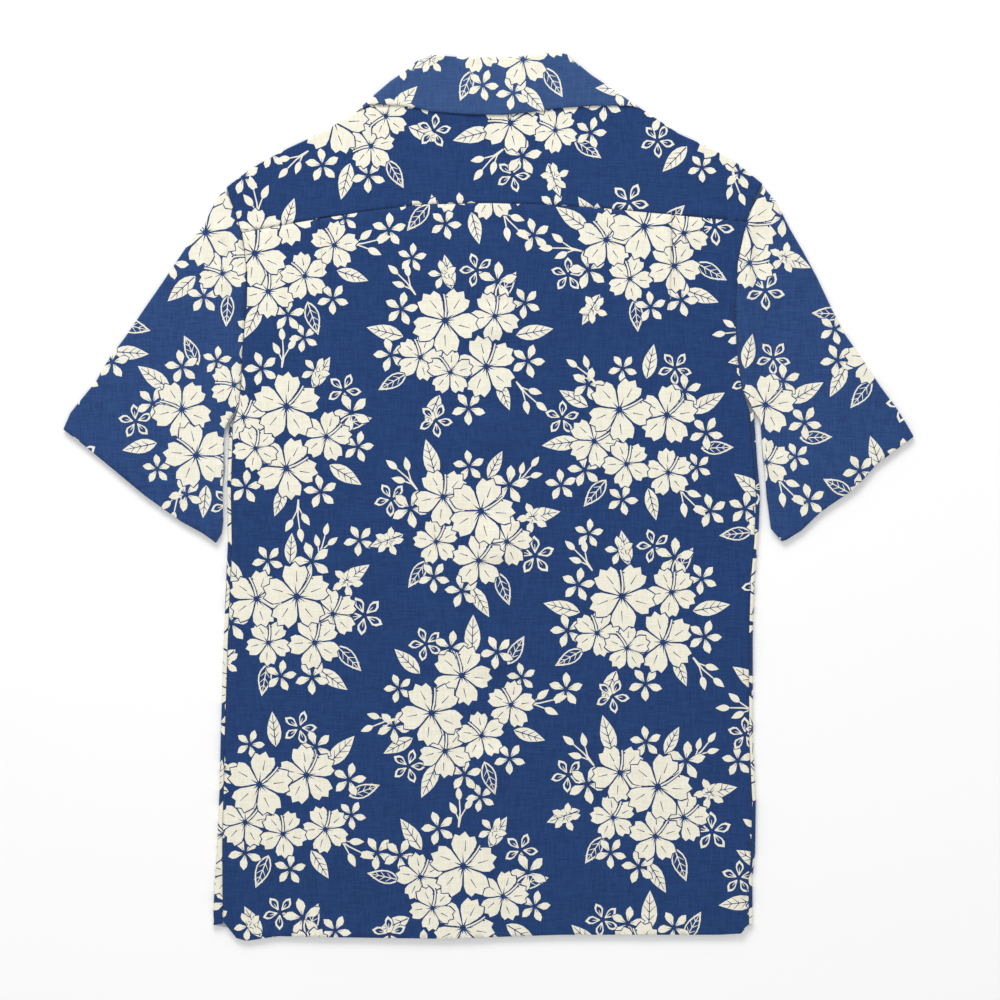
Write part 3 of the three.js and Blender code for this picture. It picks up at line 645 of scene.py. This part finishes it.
def back_place(x, y):
    """The back's height over the fronts and buttons, with its pleats, creases and stitched hem."""
    lapels = LAPELS_LIFT * ease((y - 158) / 14) * ease((232 - y) / 18)
    height = BACK_FACE + max(button_rise(x, y), lapels * ease((30 - abs(x - CENTRE)) / 14))
    for fold, foot, towards, end in PLEATS:
        share = (y - end) / (240 - end)
        if share > 0:
            line = foot + (fold - foot) * share
            past = (x - line) * towards
            lift = PLEAT_LIFT * ease(share * 1.6)
            if past < 0:
                height += lift * ease((14 + past) / 12)
            else:
                height -= 0.7 * lift * ease((3.5 - past) / 3.5) * ease(past / 0.8)
                height += lift * ease(1 - past / 0.8)
    height += soft(x, y, BACK_CREASES)
    height += 0.35 * noise.noise(Vector((x / 60, y / 85, 3.1)))
    above = y - look_up(BACK_HEM, x)
    height -= STITCH_SINK * math.exp(-((above - HEM_DEPTH) / STITCH_WIDTH) ** 2)
    height -= SEAM_DROOP * ease(1 - (look_up(YOKE_SEAM, x) - y) / 2.0)
    return x, y, height


left_side = [(look_up(SIDE_LINE["left"], y) + look_up(SIDE_STRIP["left"], y) + 0.3, y)
             for y in range(-356, 61, 8)]
right_side = [(look_up(SIDE_LINE["right"], y) - look_up(SIDE_STRIP["right"], y) - 0.3, y)
              for y in range(72, -358, -8)]
left_hole = [(x + 0.2, y) for y, x in BACK_ARMHOLE["left"] if 63 < y < 220]
right_hole = [(x - 0.2, y) for y, x in reversed(BACK_ARMHOLE["right"]) if 75 < y < 230]
back_outline = (left_side + left_hole + [(x, y - 0.3) for x, y in YOKE_SEAM] + right_hole + right_side
                + list(reversed(BACK_HEM)))
PLEAT_LINES = [[(-142.9 + a, 241), (-138.8 + a, 150)] for a in (-1.0, -0.4, 0.0, 0.6)]
PLEAT_LINES += [[(155.2 + a, 239), (152.6 + a, 130)] for a in (-0.6, 0.0, 0.4, 1.0)]
HEM_LINES = [[(x, y + HEM_DEPTH + a) for x, y in BACK_HEM[1:-1]] for a in (-1.6, 0.0, 1.6)]
back_print = print_shapes((-230, -380), (225, 252), (-20, 40))
back_cloth, back_flat, back_area = sew("back_cloth", back_outline, back_place, back_print,
                                       PLEAT_LINES + HEM_LINES)
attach(back_cloth, "root")
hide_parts("back_panel")


# Fronts: the left one passes over the right, which lies above it here. Each wraps a little round
# its side to the side seam; the edges at the middle are turned in and stitched.
UPPER_EDGE = {
    "left": ((-9.4, 150), (7.0, 172), (11.9, 188), (5.2, 204), (-2.3, 222), (-9.8, 240), (-19.0, 262),
             (-28.6, 285), (-45.0, 301), (-58.0, 318)),
    "right": ((18.6, 150), (1.2, 172), (-2.9, 188), (3.5, 204), (10.8, 222), (18.1, 240), (27.0, 262),
              (36.3, 285), (53.5, 303), (69.5, 322)),
}
LAPEL_RISE = ((-30, 176), (-14, 172), (66, 228), (120, 236), (150, 300), (180, 380))


def front_place(name):
    """Carries a front's cut to where it lies, with its side turned up to the side seam."""
    hand = -1 if name == "left" else 1

    def place(x, y):
        edge = look_up(SIDE_LINE[name], y)
        height = FLOOR_FACE + button_rise(x, y)
        out = hand * (x - CENTRE)
        height += 1.5 * ease((y - look_up(LAPEL_RISE, out) + 24) / 18)
        if name == "right":
            height += 1.7 * ease((22 - out) / 8) * ease((215 - y) / 20)
        past = hand * (x - edge)
        if y < 74 and past > -3:
            inward, level = turned(-past, *SIDE_FOLD)
            return edge - hand * inward, y, level + 0.05
        return x, y, height

    return place


def front_outline(name):
    """The front's cut: up the side seam and the armhole, down the roll and the front edge, and the hem."""
    hand = -1 if name == "left" else 1
    foot = 60 if name == "left" else 72
    strip = [(look_up(SIDE_LINE[name], y) + hand * look_up(SIDE_STRIP[name], y), y)
             for y in range(-362, foot, 8)]
    strip.append((look_up(SIDE_LINE[name], foot) + hand * 1.0, foot))
    hole = [(x - hand * 0.3, y) for y, x in FRONT_ARMHOLE[name] if foot + 3 < y < 222]
    upper = [(x + (0.3 if name == "left" else 0), y - 0.3) for x, y in reversed(UPPER_EDGE[name])]
    edge = CENTRE - hand * 14
    return strip + hole + upper + [(edge, 140), (edge, -370), (hand * 200, -370)]


for name, start, lean in (("left", (30, -30), 4), ("right", (-40, 60), -5)):
    folds = [[(x + e, y) for y, x in SIDE_LINE[name]] for e in FOLD_STEPS]
    outline = front_outline(name)
    low = [min(p[k] for p in outline) for k in (0, 1)]
    high = [max(p[k] for p in outline) for k in (0, 1)]
    cloth, flat, area = sew(name + "_front_cloth", outline, front_place(name),
                            print_shapes(low, high, start, lean), folds, -1)
    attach(cloth, "root")
    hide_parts("front_" + name)


# Yoke: one piece across the shoulders, which turns over each shoulder line to a strip in front.
SHOULDER = {
    "left": ((-78, 345.5), (-112.4, 326.6), (-134.8, 313.3), (-150, 305.4), (-170, 296.2), (-195, 282.7),
             (-210, 272.6), (-223.5, 262.0)),
    "right": ((92.5, 352.0), (127.4, 331.0), (161.8, 308.2), (184.4, 298.2), (208.6, 285.2),
              (234.0, 264.6)),
}
NECK_LINE = ((-78, 345.5), (-60, 342), (-30, 339), (4.6, 338), (40, 340), (70, 345), (92.5, 352.0))
STRIP_DEPTH = 25.0
YOKE_CREASES = (
    (-180, 262, -130, 276, 6, 0.4), (190, 268, 140, 284, 6, 0.4), (-30, 262, -20, 318, 9, 0.4),
    (60, 258, 72, 318, 8, 0.4), (-150, 240, -158, 262, 4, 0.4), (168, 246, 175, 272, 4, 0.4),
)


def yoke_place(x, y):
    """The yoke as it lies, with a strip turned under at each shoulder."""
    name = "left" if x < CENTRE else "right"
    above = y - look_up(YOKE_SEAM, x)
    height = BACK_FACE + soft(x, y, YOKE_CREASES) + 0.25 * noise.noise(Vector((x / 50, y / 50, 9.0)))
    height += 0.5 * ease(1 - above / 9) - 0.9 * ease(1 - above / 1.6)
    edge = look_up(SHOULDER[name], x)
    if (x < -77.5 or x > 92) and y > edge - 3:
        inward, rise = turned(y - edge, 2.95, 1.45)
        low = 0.55 + 0.95 * ease((y - edge) / 6) * ease((abs(x) - 130) / -30)
        share = ease((y - edge + 1.45) / 2.9)
        return x, edge - inward, rise * (1 - share) + (rise - 1.5 + low) * share
    return x, y, height


left_strip = [(x, y + STRIP_DEPTH) for x, y in SHOULDER["left"][1:]]
right_strip = [(x, y + STRIP_DEPTH) for x, y in SHOULDER["right"][1:]]
yoke_outline = (
    list(YOKE_SEAM)
    + [(x - 0.2, y) for y, x in BACK_ARMHOLE["right"] if 236 < y < 258] + [(232.5, 266)]
    + [(231.0, 290)] + list(reversed(right_strip[:-1])) + [(94, 366), (92.5, 353)]
    + list(reversed(NECK_LINE[1:-1])) + [(-78, 347), (-80, 358)]
    + left_strip[:-1] + [(-221, 287)] + [(-222.5, 264)]
    + [(x + 0.2, y) for y, x in reversed(BACK_ARMHOLE["left"]) if 226 < y < 256]
)
shoulder_folds = [[(x, y + e) for x, y in SHOULDER[name]] for name in SHOULDER for e in FOLD_STEPS]
shoulder_folds += [[(x, y + a) for x, y in YOKE_SEAM[1:-1]] for a in (1.8, 4.0)]
yoke_print = print_shapes((-230, 220), (235, 378), (34, -40), 90)
yoke_cloth, yoke_flat, yoke_area = sew("yoke_cloth", yoke_outline, yoke_place, yoke_print, shoulder_folds)
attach(yoke_cloth, "root")
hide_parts("yoke")


# Sleeves: each one piece, folded down its outer side from the shoulder to the open hem, with its
# two halves lying one over the other and joined along the underarm.
SLEEVE_EDGE = {
    "left": ((-224.5, 259.8), (-226.6, 258.8), (-234.6, 245.5), (-242.8, 229.3), (-251.7, 219.5),
             (-260.6, 206.4), (-275.2, 184.5), (-291.5, 160.9), (-307.8, 136.7), (-322.4, 117.1),
             (-333.7, 97.6), (-348.4, 79.7), (-355, 71.5), (-360.7, 58.5)),
    "right": ((233.5, 262.8), (244.3, 250.6), (255.9, 227.6), (267.2, 208.1), (278.6, 186.9),
              (291.6, 159.3), (301.2, 140.1), (316.1, 118.8), (332.4, 94.2), (345, 77.4),
              (354.5, 62.7), (360.7, 51.7)),
}
SLEEVE_HEM = {
    "left": ((-360.7, 57), (-346.8, 46.6), (-324, 27.9), (-291.5, 0.9), (-260.6, -21.1),
             (-242.8, -30.8), (-231.4, -39.0)),
    "right": ((360.7, 51), (328.8, 27.2), (311.3, 7.1), (291.7, -5.9), (280.7, -13.8), (265.5, -28.6),
              (252.8, -36.5), (249, -37.8)),
}
UNDERARM = {
    "left": ((-219.7, 66), (-224.2, 57), (-224.8, 40), (-225.6, 10), (-225.2, -20), (-226.5, -31)),
    "right": ((223.6, 75), (230.6, 65), (232.2, 45), (234.0, 25), (236.0, 0), (239.7, -27)),
}
SLEEVE_CREASES = {
    "left": ((-221, 204, -219, 172, 3, -1.3), (-234, 222, -233, 200, 4, -1.4),
             (-213, 165, -209, 92, 4, -1.4), (-227, 228, -224, 178, 3.5, 1.4),
             (-243, 214, -240, 170, 5, 1.3), (-252, 190, -246, 150, 7, 0.8),
             (-320, 100, -290, 60, 6, 0.8), (-232, 120, -236, 20, 7, 1.0), (-262, 120, -268, 10, 10, 0.8),
             (-224, 140, -222, 60, 4, 1.1)),
    "right": ((221.7, 207, 219.6, 149, 3, 1.4), (220, 149, 223.6, 73, 3, 1.4),
              (228, 214, 230, 90, 3.5, -1.4),
              (240, 150, 244, 20, 6, -1.3), (252, 190, 262, 30, 8, 1.0), (290, 120, 300, 30, 10, 0.8),
              (244, 228, 238, 170, 5, 1.1)),
}


def chord_of(name):
    """The straight line from shoulder to hem, its two directions, and how the outer fold bows from it."""
    (ax, ay), (bx, by) = SLEEVE_EDGE[name][0], SLEEVE_EDGE[name][-1]
    long = math.hypot(bx - ax, by - ay)
    along = ((bx - ax) / long, (by - ay) / long)
    out = (along[1], -along[0]) if name == "left" else (-along[1], along[0])
    profile = [((x - ax) * along[0] + (y - ay) * along[1], (x - ax) * out[0] + (y - ay) * out[1])
               for x, y in SLEEVE_EDGE[name]]
    return (ax, ay), along, out, profile


def sleeve_fold(name, x, y, away):
    """The same point seen from the outer fold: how far past it, and the point so far past or short."""
    (ax, ay), along, out, profile = chord_of(name)
    s = (x - ax) * along[0] + (y - ay) * along[1]
    edge = look_up(profile, s)
    past = (x - ax) * out[0] + (y - ay) * out[1] - edge
    d = edge + away(past)
    return past, (ax + s * along[0] + d * out[0], ay + s * along[1] + d * out[1])


def beyond_fold(name, x, y):
    """Where a point of the sleeve's lower half is in the cut, before it is folded."""
    return sleeve_fold(name, x, y, lambda past: -past)[1]


def sleeve_place(name):
    """Carries the sleeve's cut to where it lies, with the lower half turned under."""
    hand = -1 if name == "left" else 1

    def place(x, y):
        past, spot = sleeve_fold(name, x, y, lambda past: -abs(past))
        inward, height = turned(past, *SIDE_FOLD)
        if past < 0:
            height += soft(x, y, SLEEVE_CREASES[name]) * ease(inward / 12)
            height += 0.3 * noise.noise(Vector((x / 40, y / 60, 5.0))) * ease(inward / 12)
            above = min(math.hypot(x - hx, y - hy) for hx, hy in FINE_HEM[name])
            height -= STITCH_SINK * math.exp(-((above - SLEEVE_HEM_DEPTH) / STITCH_WIDTH) ** 2)
            if y > 70:
                seam = hand * (x - look_up(BACK_ARMHOLE[name], y))
                height += 0.4 * ease(1 - seam / 9) - 0.8 * ease(1 - seam / 1.8)
        return spot[0], spot[1], height

    return place


SLEEVE_HEM_DEPTH = 19.0
FINE_HEM = {name: fine_line(list(SLEEVE_HEM[name]), 3.0) for name in SLEEVE_HEM}
for name, start, lean in (("left", (20, 30), 56), ("right", (-30, 10), -58)):
    hand = -1 if name == "left" else 1
    under = UNDERARM[name]
    top = [(x + hand * 0.2, y) for y, x in reversed(BACK_ARMHOLE[name]) if 76 < y < 256]
    low_side = [(x + hand * 0.3, y) for y, x in FRONT_ARMHOLE[name] if 76 < y < 256]
    outline = [SLEEVE_EDGE[name][0]] + top + list(under) + list(reversed(SLEEVE_HEM[name][1:]))
    outline += [SLEEVE_HEM[name][0]]
    for line in (SLEEVE_HEM[name][1:], reversed(under), low_side):
        outline += [beyond_fold(name, *p) for p in line]
    folds = []
    for e in FOLD_STEPS:
        (ax, ay), along, out, profile = chord_of(name)
        folds.append([(ax + s * along[0] + (d + e) * out[0], ay + s * along[1] + (d + e) * out[1])
                      for s, d in profile])
    low = [min(p[k] for p in outline) for k in (0, 1)]
    high = [max(p[k] for p in outline) for k in (0, 1)]
    # The sleeve's ground takes the lighter blue of painted light.
    cloth, flat, area = sew(name + "_sleeve_cloth", outline, sleeve_place(name),
                            print_shapes(low, high, start, lean), folds, 1, SLEEVE_PAINTED_LIGHT_BLUE)
    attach(cloth, "root")
    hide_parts("sleeve_" + name)


# Collar: an open camp collar in one piece, which stands from the neck seam, rolls over and falls on
# the back. At each side it turns round the neck, and its leaf lies in front, under the shoulder.
COLLAR_ROLL = ((-61.7, 369.6), (-49, 375), (-33.7, 373.8), (-17.8, 372.6), (1.2, 372.8), (21.3, 373.1),
               (54.5, 376.6), (59, 377.6), (68.2, 374.7), (75.1, 367.9))
COLLAR_SIDE = {
    "left": ((-61.7, 369.6), (-68.5, 363), (-83.1, 353.2), (-95.7, 342.4), (-112.4, 327.3)),
    "right": ((75.1, 367.9), (87.6, 358), (105.2, 346.3), (127.4, 330.8)),
}
COLLAR_EDGE = ((-112.4, 326.8), (-100, 332.7), (-76.2, 332.2), (-60.9, 329.7), (-49, 326.8),
               (-17.7, 324.3), (11.4, 323.9), (30.9, 325.5), (60.4, 329.7), (89.6, 331.7),
               (118.9, 331.7), (127.7, 330.1))
COLLAR_FRONT = {
    "left": ((-110.5, 325.2), (-104, 305), (-97, 288), (-92, 275.5), (-88, 266), (-28.8, 292.5),
             (-36, 304.5), (-44, 321), (-53, 343)),
    "right": ((125.5, 328.6), (119, 306), (111, 289), (104, 277), (98, 267), (38, 293.2),
              (43.5, 305), (50.5, 321), (60, 344)),
}
STAND_DEPTH = 31.0
COLLAR_FACE = 5.95  # height of the printed face of the fall
ROLL_RADIUS = 0.95
COLLAR_CREASES = (
    (-22, 372, -14, 326, 5, 0.8), (-36, 370, -34, 340, 6, -0.5), (56, 374, 84, 340, 5, 0.9),
    (70, 366, 98, 338, 5, -0.5), (-80, 348, -92, 336, 5, 0.5), (20, 370, 24, 330, 9, 0.4),
)


def collar_side(name, x, y):
    """How far a point lies past the collar's side fold, how far along it, and the same point mirrored."""
    hand = -1 if name == "left" else 1
    (ax, ay), (bx, by) = COLLAR_SIDE[name][0], COLLAR_SIDE[name][-1]
    long = math.hypot(bx - ax, by - ay)
    along = ((bx - ax) / long, (by - ay) / long)
    out = (-hand * along[1], hand * along[0])
    profile = [((px - ax) * along[0] + (py - ay) * along[1], (px - ax) * out[0] + (py - ay) * out[1])
               for px, py in COLLAR_SIDE[name]]
    s = (x - ax) * along[0] + (y - ay) * along[1]
    edge = look_up(profile, s)
    past = (x - ax) * out[0] + (y - ay) * out[1] - edge
    flip = lambda d: (ax + s * along[0] + (edge + d) * out[0], ay + s * along[1] + (edge + d) * out[1])
    return past, s, flip


def collar_place(x, y):
    """The collar as it lies: the stand turned under at the roll, and the leaves under at the sides."""
    name = "left" if x < CENTRE else "right"
    above = y - look_up(COLLAR_EDGE, x)
    height = COLLAR_FACE + soft(x, y, COLLAR_CREASES)
    height += 0.35 * ease(1 - above / 8) - 0.5 * ease(1 - above / 1.5)
    roll = look_up(COLLAR_ROLL, x)
    past, s, flip = collar_side(name, x, y)
    if s > 0 and past > -3:
        radius = ROLL_RADIUS + 1.97 * ease(s / 14)
        inward, level = turned(past, COLLAR_FACE - radius, radius)
        spot = flip(-inward)
        lift = (height - COLLAR_FACE) * ease(-past / 3)
        return spot[0], spot[1], level + lift
    if y > roll - 3:
        inward, level = turned(y - roll, COLLAR_FACE - ROLL_RADIUS, ROLL_RADIUS)
        return x, roll - inward, level + (height - COLLAR_FACE) * ease((roll - y) / 3)
    return x, y, height


collar_outline = list(COLLAR_EDGE)
collar_outline += [collar_side("right", *p)[2](abs(collar_side("right", *p)[0]))
                   for p in COLLAR_FRONT["right"]]
collar_outline += [(75.3, 368.4), (73, 370 + STAND_DEPTH)]
collar_outline += [(x, y + STAND_DEPTH) for x, y in reversed(COLLAR_ROLL[1:-1])]
collar_outline += [(-60, 371 + STAND_DEPTH), (-61.9, 370.2)]
collar_outline += [collar_side("left", *p)[2](abs(collar_side("left", *p)[0]))
                   for p in reversed(COLLAR_FRONT["left"])]
collar_folds = [[(x, y + e) for x, y in COLLAR_ROLL[1:-1]] for e in FOLD_STEPS]
collar_folds += [[(x, y + a) for x, y in COLLAR_EDGE[1:-1]] for a in (1.6, 4.0)]
for name in COLLAR_SIDE:
    side_line = fine_line(list(COLLAR_SIDE[name]), 3.0)[1:-1]
    collar_folds += [[collar_side(name, *p)[2](e * 1.3) for p in side_line] for e in FOLD_STEPS]
collar_print = print_shapes((-200, 260), (220, 412), (12, 60), 12)
# The collar's ground takes the lighter blue of painted light.
collar_cloth, collar_flat, collar_area = sew("collar_cloth", collar_outline, collar_place, collar_print,
                                             collar_folds, 1, COLLAR_PAINTED_LIGHT_BLUE, 0.8)
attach(collar_cloth, "root")
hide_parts("collar")


# Lapels: the top of each front, turned out at the opening, so that it lies under the front here.
LAPEL = {
    "left": ((7.5, 178), (11.0, 190), (5.0, 204), (-2.6, 222), (-10.1, 240), (-19.3, 262), (-27.2, 281),
             (-37, 277), (-50, 254), (-62, 238), (-42, 224), (-22, 209), (-4, 192)),
    "right": ((0.0, 202), (8.0, 214.5), (11.1, 222), (18.4, 240), (27.3, 262), (35.0, 281), (45, 277),
              (59, 254), (70, 238), (38, 222), (22, 212.5), (8, 205)),
}
for name in LAPEL:
    cloth, flat, area = sew(name + "_lapel_cloth", LAPEL[name], lambda x, y: (x, y, 0.1),
                            print_shapes((-65, 170), (75, 285), (10, 10), 30), (), -1)
    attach(cloth, "root")
    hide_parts("lapel_" + name)


# Buttons: five round shell buttons with a rim and four holes, turned and drilled, then sewn down
# the left front. They lie face down on the table.
def shell_material():
    """Pale cloudy shell with a low polish."""
    made = bpy.data.materials.new("pale_shell")
    made.use_nodes = True
    nodes, links = made.node_tree.nodes, made.node_tree.links
    shader = nodes["Principled BSDF"]
    where = nodes.new("ShaderNodeTexCoord")
    cloud = nodes.new("ShaderNodeTexNoise")
    cloud.inputs["Scale"].default_value = 220.0
    tone = nodes.new("ShaderNodeMix")
    tone.data_type = "RGBA"
    tone.inputs["A"].default_value = (0.74, 0.69, 0.58, 1)
    tone.inputs["B"].default_value = (0.86, 0.83, 0.76, 1)
    links.new(where.outputs["Object"], cloud.inputs["Vector"])
    links.new(cloud.outputs["Fac"], tone.inputs["Factor"])
    links.new(tone.outputs["Result"], shader.inputs["Base Color"])
    shader.inputs["Roughness"].default_value = 0.3
    return made


SHELL = shell_material()
for number in range(1, 6):
    low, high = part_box("button_" + str(number))
    middle = [(low[k] + high[k]) / 2 for k in (0, 1, 2)]
    bpy.ops.mesh.primitive_cylinder_add(vertices=64, radius=(high[0] - low[0]) / 2,
                                        depth=high[2] - low[2], location=middle)
    button = bpy.context.object
    button.name = "shell_button_" + str(number)
    rim = button.modifiers.new("rim", "BEVEL")
    rim.width, rim.segments = 0.6 * MM, 3
    bpy.ops.object.modifier_apply(modifier=rim.name)
    for dx, dy in ((-1, -1), (-1, 1), (1, 1), (1, -1)):
        spot = (middle[0] + dx * 1.3 * MM, middle[1] + dy * 1.3 * MM, middle[2])
        bpy.ops.mesh.primitive_cylinder_add(vertices=20, radius=0.8 * MM, depth=0.02, location=spot)
        drill = bpy.context.object
        hole = button.modifiers.new("hole", "BOOLEAN")
        hole.operation, hole.object = "DIFFERENCE", drill
        bpy.context.view_layer.objects.active = button
        bpy.ops.object.modifier_apply(modifier=hole.name)
        bpy.data.objects.remove(drill)
    bpy.ops.object.select_all(action="DESELECT")
    button.select_set(True)
    bpy.ops.object.transform_apply(location=True, rotation=True, scale=True)
    button.data.materials.append(SHELL)
    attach(button, "root")
    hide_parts("button_" + str(number))
